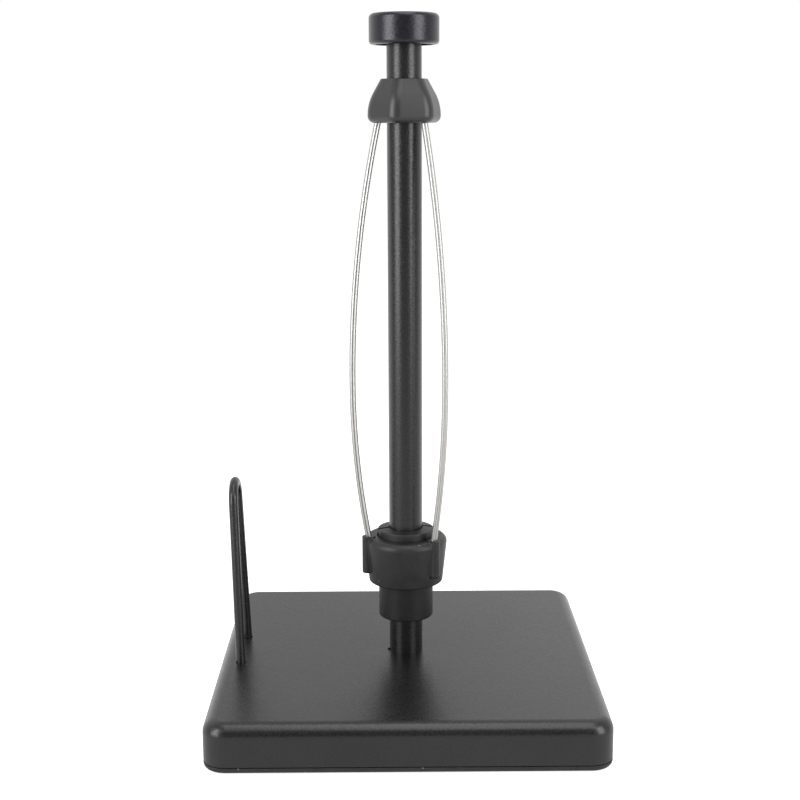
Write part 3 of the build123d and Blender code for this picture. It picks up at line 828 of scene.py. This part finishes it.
@dataclass
class SideLoop:
    """The bent wire that holds the loose edge of the paper."""

    wire_radius: float = 2.2 * MM
    wire_sides: int = 40
    half_width: float = 16.75 * MM
    foot_x: float = -79.55 * MM
    lean: float = math.radians(1.7)
    taper: float = math.radians(5.2)
    arch_steps: int = 56
    stud_radius: float = 1.5 * MM

    def build(self, shop: FinishShop) -> list[bpy.types.Object]:
        """Bend and dress the loop, with the studs that its nuts hold.

        Args:
            shop: finishes of the object.

        Returns:
            The new pieces.
        """
        low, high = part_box("side_loop")
        base_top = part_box("base_cover")[1].z
        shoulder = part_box("base_weight")[1].z
        top = (high.z - self.wire_radius - base_top) / math.cos(self.lean)
        narrowing, incline = math.tan(self.taper), math.sin(self.taper)
        arch_radius = (self.half_width - top * narrowing) * math.cos(self.taper) / (1.0 - incline)
        arch_height = base_top + top - arch_radius
        arch_centre = (self.foot_x, 0.0, arch_height)
        arch_axis = (-1.0, 0.0, 0.0)
        arch_turn = math.pi - 2.0 * self.taper
        rise = arch_height + arch_radius * incline - shoulder
        foot = (self.foot_x, -self.half_width - (base_top - shoulder) * narrowing, shoulder)
        loop = Workpiece("paper_loop")
        end = loop.ring(foot, (0.0, narrowing, 1.0), self.wire_radius, self.wire_sides)
        end = loop.run_straight(end, (0.0, rise * narrowing, rise))
        end = loop.run_round(end, arch_centre, arch_axis, arch_turn, self.arch_steps)
        loop.run_straight(end, (0.0, rise * narrowing, -rise))
        loop.turn(-self.lean, Axis.Y, (self.foot_x, 0.0, base_top))
        self._add_studs(loop.mesh, shoulder, low.z)
        piece = shop.dress(loop.finished(), Slot.POWDER)
        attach(piece, Body.STAND.value)
        return [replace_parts(piece, "side_loop")]

    def _add_studs(self, mesh: bmesh.types.BMesh, shoulder: float, stud_end: float) -> None:
        """Cut the legs level and draw a thin stud down from each.

        Args:
            mesh: bent wire with two open feet.
            shoulder: level where the legs stand on the weight.
            stud_end: level of the studs' lower ends.
        """
        rims = [edge for edge in mesh.edges if edge.is_boundary]
        feet = list({vertex for edge in rims for vertex in edge.verts})
        flat = Matrix.Diagonal((1.0, 1.0, 0.0)).to_4x4()
        level = Matrix.Translation((0.0, 0.0, shoulder)) @ flat @ Matrix.Translation((0.0, 0.0, -shoulder))
        bmesh.ops.transform(mesh, matrix=level, verts=feet)
        soles = bmesh.ops.holes_fill(mesh, edges=rims, sides=0)["faces"]
        bmesh.ops.inset_individual(mesh, faces=soles, thickness=self.wire_radius - self.stud_radius)
        studs = bmesh.ops.extrude_discrete_faces(mesh, faces=soles)["faces"]
        tips = [vertex for face in studs for vertex in face.verts]
        bmesh.ops.translate(mesh, verts=tips, vec=(0.0, 0.0, stud_end - shoulder))


@dataclass
class RubberFeet:
    """The four ringed feet that the base stands on."""

    corners: tuple[str, ...] = ("front_left", "front_right", "back_left", "back_right")
    sides: int = 64
    edge_radius: float = 0.3 * MM
    edge_steps: int = 4
    ring_count: int = 3
    ring_width: float = 1.0 * MM
    groove_width: float = 0.7 * MM
    groove_slope: float = 0.15 * MM
    groove_depth: float = 0.35 * MM

    def foot(self, name: str, node: str) -> bpy.types.Object:
        """Mould one foot in the place of its node.

        Args:
            name: name of the piece.
            node: node that the foot stands for.

        Returns:
            The new piece.
        """
        low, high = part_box(node)
        middle = (low + high) / 2.0
        top = Matrix.Translation((middle.x, middle.y, high.z))
        foot = Workpiece(name)
        made = bmesh.ops.create_circle(
            foot.mesh, cap_ends=True, radius=(high.x - low.x) / 2.0, segments=self.sides, matrix=top
        )
        disc = list(made["verts"][0].link_faces)
        sole = bmesh.ops.extrude_face_region(foot.mesh, geom=disc, use_keep_orig=True)["geom"]
        corners = [part for part in sole if isinstance(part, bmesh.types.BMVert)]
        bmesh.ops.translate(foot.mesh, verts=corners, vec=(0.0, 0.0, low.z - high.z))
        bmesh.ops.recalc_face_normals(foot.mesh, faces=foot.mesh.faces[:])
        rim = [edge for edge in foot.mesh.edges if all(end in corners for end in edge.verts)]
        bmesh.ops.bevel(
            foot.mesh, geom=rim, offset=self.edge_radius, affect="EDGES",
            segments=self.edge_steps, profile=0.5, material=-1,
        )
        self._cut_grooves(foot.mesh)
        return foot.finished()

    def _cut_grooves(self, mesh: bmesh.types.BMesh) -> None:
        """Cut the grip rings into the lowest face.

        Args:
            mesh: plain foot.
        """
        sole = min(mesh.faces, key=lambda face: face.calc_center_median().z)
        ring_and_groove = (
            (self.ring_width, 0.0),
            (self.groove_slope, -self.groove_depth),
            (self.groove_width, 0.0),
            (self.groove_slope, self.groove_depth),
        )
        for width, depth in ring_and_groove * self.ring_count:
            bmesh.ops.inset_region(mesh, faces=[sole], thickness=width, depth=depth)

    def build(self, shop: FinishShop) -> list[bpy.types.Object]:
        """Make and dress the feet.

        Args:
            shop: finishes of the object.

        Returns:
            The new pieces.
        """
        pieces = []
        for corner in self.corners:
            node = f"foot_{corner}"
            foot = shop.dress(self.foot(f"rubber_foot_{corner}", node), Slot.RUBBER)
            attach(foot, Body.STAND.value)
            pieces.append(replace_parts(foot, node))
        return pieces


@dataclass(frozen=True)
class SoftBox:
    """A soft studio lamp, turned round the object from its front and aimed at its axis."""

    name: str
    turn: float
    distance: float
    height: float
    width: float
    tall: float
    radiance: float
    aim_height: float

    def hang(self) -> None:
        """Make the lamp, unseen by the camera."""
        lamp = bpy.data.lights.new(self.name, "AREA")
        lamp.shape = "RECTANGLE"
        lamp.size, lamp.size_y = self.width, self.tall
        lamp.energy = self.radiance * math.pi * self.width * self.tall
        sideways, forwards = math.sin(self.turn) * self.distance, math.cos(self.turn) * self.distance
        place = Vector((sideways, -forwards, self.height))
        aim = Vector((0.0, 0.0, self.aim_height)) - place
        facing = aim.to_track_quat("-Z", "Y").to_matrix().to_4x4()
        holder = bpy.data.objects.new(self.name, lamp)
        holder.matrix_world = Matrix.Translation(place) @ facing
        holder.visible_camera = False
        bpy.context.scene.collection.objects.link(holder)


@dataclass(frozen=True)
class WallShade:
    """How the light of the studio's walls changes along one axis of the direction towards them."""

    axis: Axis
    start: float
    end: float
    low: float
    high: float


@dataclass
class Studio:
    """White studio: camera, lamps, backdrop and floor."""

    lens: float = 63.5875
    nearest: float = 10.0 * MM
    camera_place: Point = (-6.26 * MM, -657.53 * MM, 281.69 * MM)
    camera_pitch: float = math.radians(11.5287)
    camera_yaw: float = math.radians(-0.3265)
    camera_roll: float = math.radians(-0.2388)
    floor_side: float = 8.0
    floor_white: float = 0.66
    floor_roughness: float = 0.8
    floor_specular: float = 0.2
    floor_glow: float = 0.8
    sweep_glow: float = 0.9
    sweep_start: float = -0.25
    sweep_end: float = 0.35
    fill: float = 0.4
    walls: tuple[WallShade, ...] = (
        WallShade(Axis.Y, start=-0.7, end=0.7, low=0.14, high=0.86),
        WallShade(Axis.X, start=-0.6, end=-0.1, low=1.5, high=1.0),
        WallShade(Axis.X, start=-0.02, end=0.22, low=1.0, high=1.45),
        WallShade(Axis.X, start=0.25, end=0.6, low=1.0, high=0.93),
    )
    lamps: tuple[SoftBox, ...] = (
        SoftBox(
            "left_strip", turn=math.radians(-51.0), distance=0.95, height=0.55,
            width=0.5, tall=1.0, radiance=6.3, aim_height=0.55,
        ),
        SoftBox(
            "right_strip", turn=math.radians(50.0), distance=0.95, height=0.55,
            width=0.5, tall=1.0, radiance=5.2, aim_height=0.55,
        ),
        SoftBox(
            "overhead_box", turn=math.radians(15.0), distance=0.5, height=2.0,
            width=1.1, tall=2.1, radiance=2.7, aim_height=0.05,
        ),
    )

    def set_camera(self) -> None:
        """Stand the camera where the photograph was taken from."""
        camera = bpy.data.objects.new("photo_camera", bpy.data.cameras.new("photo_camera"))
        camera.data.lens = self.lens
        camera.data.clip_start = self.nearest
        camera.matrix_world = (
            Matrix.Translation(self.camera_place)
            @ Matrix.Rotation(self.camera_yaw, 4, Axis.Z.value)
            @ Matrix.Rotation(math.pi / 2.0 - self.camera_pitch, 4, Axis.X.value)
            @ Matrix.Rotation(self.camera_roll, 4, Axis.Z.value)
        )
        bpy.context.scene.collection.objects.link(camera)
        bpy.context.scene.camera = camera

    def set_backdrop(self) -> None:
        """White for the camera, a studio that is dimmer in front for reflections, and even fill."""
        world = bpy.data.worlds.new("white_backdrop")
        bpy.context.scene.world = world
        world.use_nodes = True
        graph = NodeGraph(world.node_tree)
        glow = graph.nodes.new("ShaderNodeBackground")
        output = graph.nodes.new("ShaderNodeOutputWorld")
        graph.feed(glow.inputs["Color"], WHITE)
        graph.feed(output.inputs["Surface"], glow.outputs["Background"])
        towards = graph.by_axis(graph.nodes.new("ShaderNodeTexCoord").outputs["Generated"])
        level: Socket | float = 1.0
        for wall in self.walls:
            shade = graph.spread(towards[wall.axis], wall.low, wall.high, wall.start, wall.end)
            level = graph.compute(Step.TIMES, level, shade)
        seen, mirrored = graph.rays()
        unseen = graph.mix(Mixed.NUMBERS, mirrored, self.fill, level)
        graph.feed(glow.inputs["Strength"], graph.mix(Mixed.NUMBERS, seen, unseen, 1.0))

    def lay_floor(self) -> None:
        """White floor that keeps the shadow and is see-through from below."""
        floor = Workpiece("studio_floor")
        bmesh.ops.create_grid(floor.mesh, x_segments=1, y_segments=1, size=self.floor_side / 2.0)
        piece = floor.finished()
        graph = FinishGraph("white_floor")
        graph.set_input("Base Color", (self.floor_white,) * 3)
        graph.set_input("Roughness", self.floor_roughness)
        graph.set_input("Specular IOR Level", self.floor_specular)
        graph.set_input("Emission Color", WHITE)
        depth = graph.by_axis(graph.place)[Axis.Y]
        sweep = graph.spread(depth, 0.0, self.sweep_glow, self.sweep_start, self.sweep_end)
        seen, mirrored = graph.rays()
        shine = graph.compute(Step.TIMES, mirrored, sweep)
        graph.set_input("Emission Strength", graph.compute(Step.TIMES_PLUS, seen, self.floor_glow, shine))
        self._clear_from_below(graph)
        graph.material.cycles.emission_sampling = "NONE"
        piece.data.materials.append(graph.material)

    @staticmethod
    def _clear_from_below(graph: FinishGraph) -> None:
        """Make the back of a surface see-through.

        Args:
            graph: material of the surface.
        """
        below = graph.nodes.new("ShaderNodeNewGeometry").outputs["Backfacing"]
        clear = graph.nodes.new("ShaderNodeBsdfTransparent").outputs["BSDF"]
        sides = graph.nodes.new("ShaderNodeMixShader")
        for socket, value in zip(sides.inputs, (below, graph.shader.outputs["BSDF"], clear)):
            graph.feed(socket, value)
        graph.feed(graph.surface, sides.outputs["Shader"])

    def build(self) -> None:
        """Set up everything that isn't part of the object."""
        bpy.context.scene.view_settings.view_transform = "Standard"
        self.set_camera()
        self.set_backdrop()
        self.lay_floor()
        for lamp in self.lamps:
            lamp.hang()


def main() -> None:
    """Build the studio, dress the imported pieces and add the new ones."""
    logging.basicConfig(level=logging.INFO, format="%(message)s")
    Studio().build()
    shop = FinishShop()
    shop.dress_nodes()
    for assembly in (SpringCage(), ClickCoil(), SideLoop(), RubberFeet()):
        for piece in assembly.build(shop):
            LOG.info("%s: %d faces", piece.name, len(piece.data.polygons))


if __name__ == "__main__":
    main()
